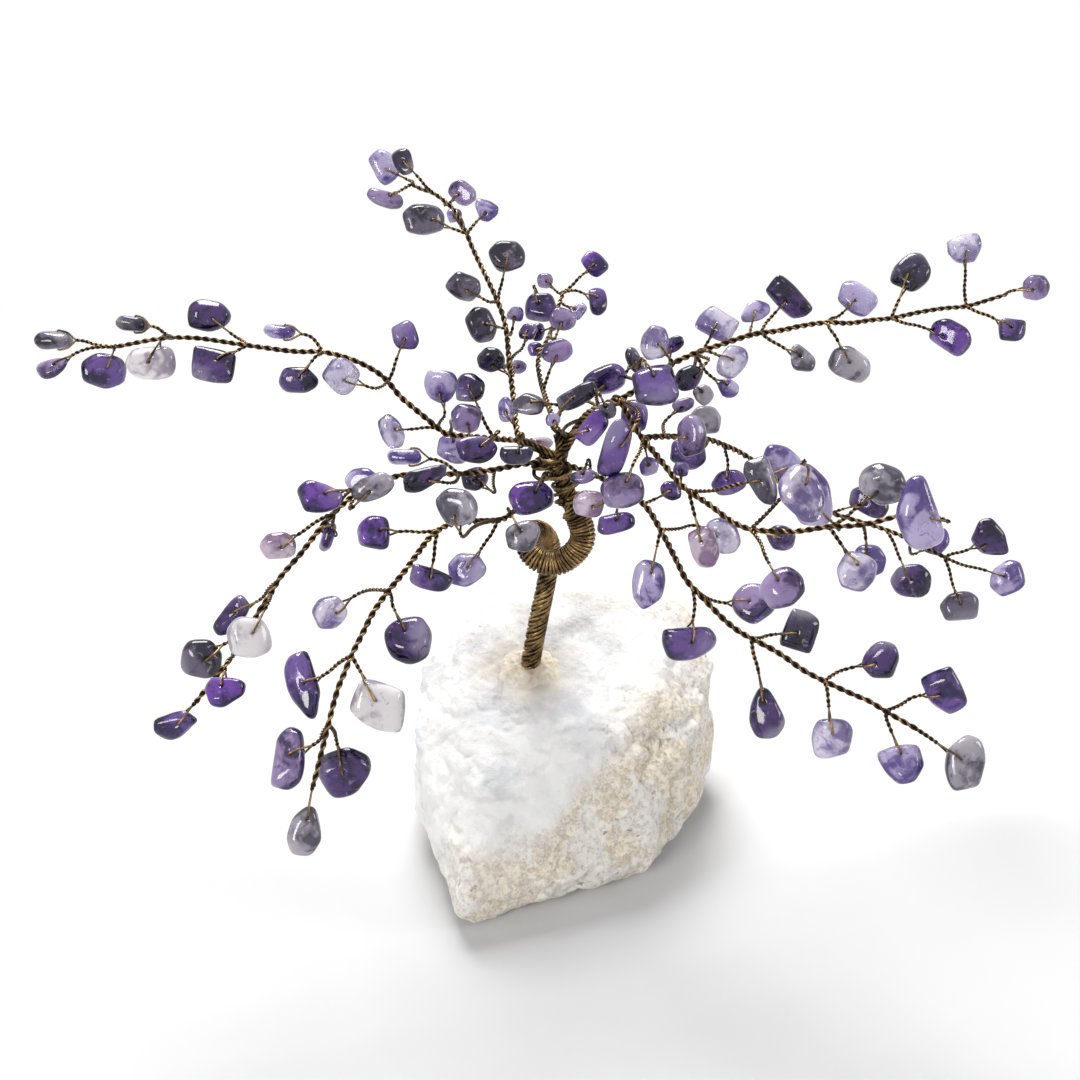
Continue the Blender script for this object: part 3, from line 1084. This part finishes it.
# Milky quartz: white with grey glassy patches. A grainy cream and tan crust with specks, pits and
# holes covers the lower front and right, where 20 x - 35 z + 1.5 wide + 1.3 clouds passes 0.05 to
# 0.55, and the back, where 30 y + 1.6 clouds passes 1.35 to 1.75. The glue stains the top within
# 5 to 17 mm of the trunk's foot
def quartzMaterial():
    look = quartzLook
    material, tree, place = newMaterial("milkyQuartz")
    wide = grain(place, look["wideScale"], 2.0, 0.5)
    clouds = grain(place, look["cloudScale"], 3.0, 0.5, 0.15)
    fine = grain(place, look["fineScale"], 6.0, 0.68)
    speckle = grain(place, look["speckleScale"], 4.0, 0.65)
    specks = grain(place, look["speckScale"], 3.0, 0.7, output="Specks")
    shifted = nodeFrom("ShaderNodeVectorMath", {0: fine, 1: (look["shift"],) * 3, 2: place},
                       operation="MULTIPLY_ADD").outputs["Vector"]
    crystals, holes = voronoi(shifted, look["crystalScale"]), voronoi(shifted, look["holeScale"])
    across, depth, height = nodeFrom("ShaderNodeSeparateXYZ", {"Vector": place}).outputs
    glassy = times(plus(0.45, times(redOf(crystals["Color"]), 0.55)), remap(clouds, 0.50, 0.60))
    milk = mixColour(times(glassy, 0.9), look["milk"], look["glassy"])
    milk = mixColour(times(remap(fine, 0.52, 0.66), 0.22), milk, look["veil"])
    powder = remap(plus(clouds, times(fine, 0.35)), 0.62, 0.74)
    pits = remap(plus(times(speckle, 0.45), times(fine, 0.55)), 0.37, 0.44, 1.0, 0.0)
    opened = times(remap(holes["Distance"], 0.12, 0.30, 1.0, 0.0), remap(redOf(holes["Color"]), 0.80, 0.84))
    cream = mixColour(remap(fine, 0.40, 0.58), look["tan"], look["cream"])
    for shown, share, colour in ((remap(speckle, 0.50, 0.60), 0.6, "chalk"), (powder, 0.6, "powder"),
                                 (specks, 0.42, "specks"), (pits, 0.9, "pits"), (opened, 0.8, "holes")):
        cream = mixColour(times(shown, share), cream, look[colour])
    lower = plus(less(times(across, 20.0), times(height, 35.0)), times(wide, 1.5), times(clouds, 1.3))
    back = plus(times(depth, 30.0), times(clouds, 1.6))
    crust = maths("MAXIMUM", remap(lower, 0.05, 0.55), times(remap(back, 1.35, 1.75), 0.7))
    crust = times(crust, remap(fine, 0.34, 0.50, 0.40, 0.95))
    away = nodeFrom("ShaderNodeVectorMath", {0: place, 1: tuple(mouth * milli)}, operation="DISTANCE")
    away = plus(away.outputs["Value"], times(less(clouds, fine), 0.016))
    stain = times(remap(away, 0.005, 0.017, 1.0, 0.0), remap(fine, 0.30, 0.62, 0.85, 0.45))
    bumps = plus(fine, times(speckle, 0.5), times(crystals["Distance"], 0.6))
    return surfaced(material, {
        "Base Color": mixColour(stain, mixColour(crust, milk, cream), look["stain"]),
        "Roughness": remap(crust, 0.0, 1.0, 0.30, 0.75),
        "Normal": bumped(bumps, look["bump"], look["bumpDepth"]),
        **look["inside"],
    })


piece = makeObject("quartz-rock", *rockMesh(), quartzMaterial(), "tree")
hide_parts("quartz_base")
print("rock made")

glue = {"reach": 10.5, "depthShare": 0.85, "rise": 1.4, "drop": 2.6, "sink": 2.5, "around": 96, "rings": 26,
        "edgeSeed": 41, "lumpCell": 0.9, "lumpSeed": 43, "crumbScale": 900.0, "fineScale": 700.0,
        "colours": [(0.25, (0.16, 0.11, 0.07)), (0.46, (0.48, 0.38, 0.26)), (0.62, (0.66, 0.57, 0.43)),
                    (0.95, (0.80, 0.74, 0.63))]}


# Glue and crushed stone: crumbs and fine grain, paler towards the edge
def glueMaterial():
    material, tree, place = newMaterial("crushedStoneGlue")
    crumbs = voronoi(place, glue["crumbScale"])
    fine = grain(place, glue["fineScale"], 4.0)
    mottle = plus(times(fine, 0.6), times(crumbs["Color"], 0.35), times(readValue(tree, "outer"), 0.5))
    return surfaced(material, {
        "Base Color": ramp(mottle, glue["colours"]),
        "Roughness": remap(fine, 0.3, 0.7, 0.25, 0.6),
        "Normal": bumped(crumbs["Distance"], 0.4, 0.0006),
    })


# Its shape round the trunk's foot, at the share r of its wandering reach: height = rise *
# (1 - r^2) * (0.7 + 0.4 lumps) - drop * r^2, so that the edge lies in the rock
angles = np.linspace(0, 2 * np.pi, glue["around"], endpoint=False)
circle = np.column_stack([np.cos(angles), np.sin(angles), 0 * angles])
shares = np.linspace(0.0, 1.0, glue["rings"])[1:, None]
wander = 0.78 + 0.22 * latticeNoise(circle * 9.0, 3.0, glue["edgeSeed"])
flat = (shares * glue["reach"] * wander)[..., None] * circle * [1.0, glue["depthShare"], 0.0]
lumps = latticeNoise(flat.reshape(-1, 3), glue["lumpCell"], glue["lumpSeed"]).reshape(flat.shape[:2])
lift = glue["rise"] * (1 - shares ** 2) * (0.7 + 0.4 * lumps) - glue["drop"] * shares ** 2
grid = mouth + flat + (rock["slopes"][3] * flat[..., 1] + lift)[..., None] * [0.0, 0.0, 1.0]
points = np.vstack([mouth + [0, 0, glue["rise"] * 0.8], grid.reshape(-1, 3), mouth - [0, 0, glue["sink"]]])
outer = np.concatenate([[0.0], np.repeat(shares.ravel(), glue["around"]), [1.0]])
piece = makeObject("glue-patch", points, skinFaces(len(shares), glue["around"], -1), glueMaterial(), "tree",
                   {"outer": outer})
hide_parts("glue_seat")
print("glue made")

# Floor, background, lamps and camera. The floor keeps the shadow near the object and turns
# white further out. Its shadow's limits and the lamps are in metres
studio = {"floor": (0.68, 0.68, 0.685), "floorReach": 6000.0, "world": 0.32, "shadowFrom": 0.15,
          "shadowTo": 0.44, "aim": (0, 0, 0.08),
          "lamps": {"key": {"place": (-0.12, 0.52, 0.88), "size": 0.5, "power": 13.2},
                    "fill": {"place": (-0.55, -0.85, 0.50), "size": 0.35, "power": 5.6},
                    "rim": {"place": (0.7, -0.1, 0.35), "size": 0.25, "power": 1.5}}}


# 1 for what the camera sees, straight, in gloss or through a stone
def seenRays(tree):
    rays = addNode(tree, "ShaderNodeLightPath").outputs
    return maths("ADD", plus(rays["Is Camera Ray"], rays["Is Glossy Ray"]), rays["Is Transmission Ray"],
                 clamp=True)


material, tree, ground = newMaterial("paleFloor")
surfaced(material, {"Base Color": (*studio["floor"], 1.0), "Roughness": 0.9, "Specular IOR Level": 0.1})
away = nodeFrom("ShaderNodeVectorMath", {0: ground}, operation="LENGTH").outputs["Value"]
glow = addNode(tree, "ShaderNodeEmission", {"Color": (1.0, 1.0, 1.0, 1.0), "Strength": 1.0})
shown = times(seenRays(tree), remap(away, studio["shadowFrom"], studio["shadowTo"]))
mixed = nodeFrom("ShaderNodeMixShader", {0: shown, 1: tree.nodes["Principled BSDF"].outputs[0],
                                         2: glow.outputs[0]})
setInputs(tree.nodes["Material Output"], {"Surface": mixed.outputs[0]})
corners = np.array([(-1, -1, 0), (1, -1, 0), (1, 1, 0), (-1, 1, 0)]) * studio["floorReach"]
floor = makeObject("floor", corners, [(0, 1, 2, 3)], material)

world = bpy.data.worlds.new("studio")
bpy.context.scene.world = world
world.use_nodes = True
strength = plus(times(seenRays(world.node_tree), 1.0 - studio["world"]), studio["world"])
setInputs(world.node_tree.nodes["Background"], {"Color": (1.0, 1.0, 1.0, 1.0), "Strength": strength})

for name, lamp in studio["lamps"].items():
    light = bpy.data.lights.new(name, "AREA")
    light.energy = lamp["power"]
    light.size = lamp["size"]
    holder = bpy.data.objects.new(name, light)
    holder.location = lamp["place"]
    towards = Vector(studio["aim"]) - Vector(lamp["place"])
    holder.rotation_euler = towards.to_track_quat("-Z", "Y").to_euler()
    bpy.context.scene.collection.objects.link(holder)

lens = bpy.data.cameras.new("camera")
lens.sensor_width = 36.0
lens.lens = view["focal"] / 1080.0 * lens.sensor_width  # the photograph is 1080 pixels wide
lens.clip_start = 0.01
camera = bpy.data.objects.new("camera", lens)
spot = (mouth + (toCamera * view["focal"] - seen(*view["foot"], 0.0)) * pixelSize) * milli
camera.location = tuple(spot)
camera.rotation_euler = (np.radians(90.0 - view["elevation"]), 0.0, 0.0)
bpy.context.scene.collection.objects.link(camera)
bpy.context.scene.camera = camera
bpy.context.scene.view_settings.view_transform = "Standard"
print("studio made")

bpy.context.view_layer.update()
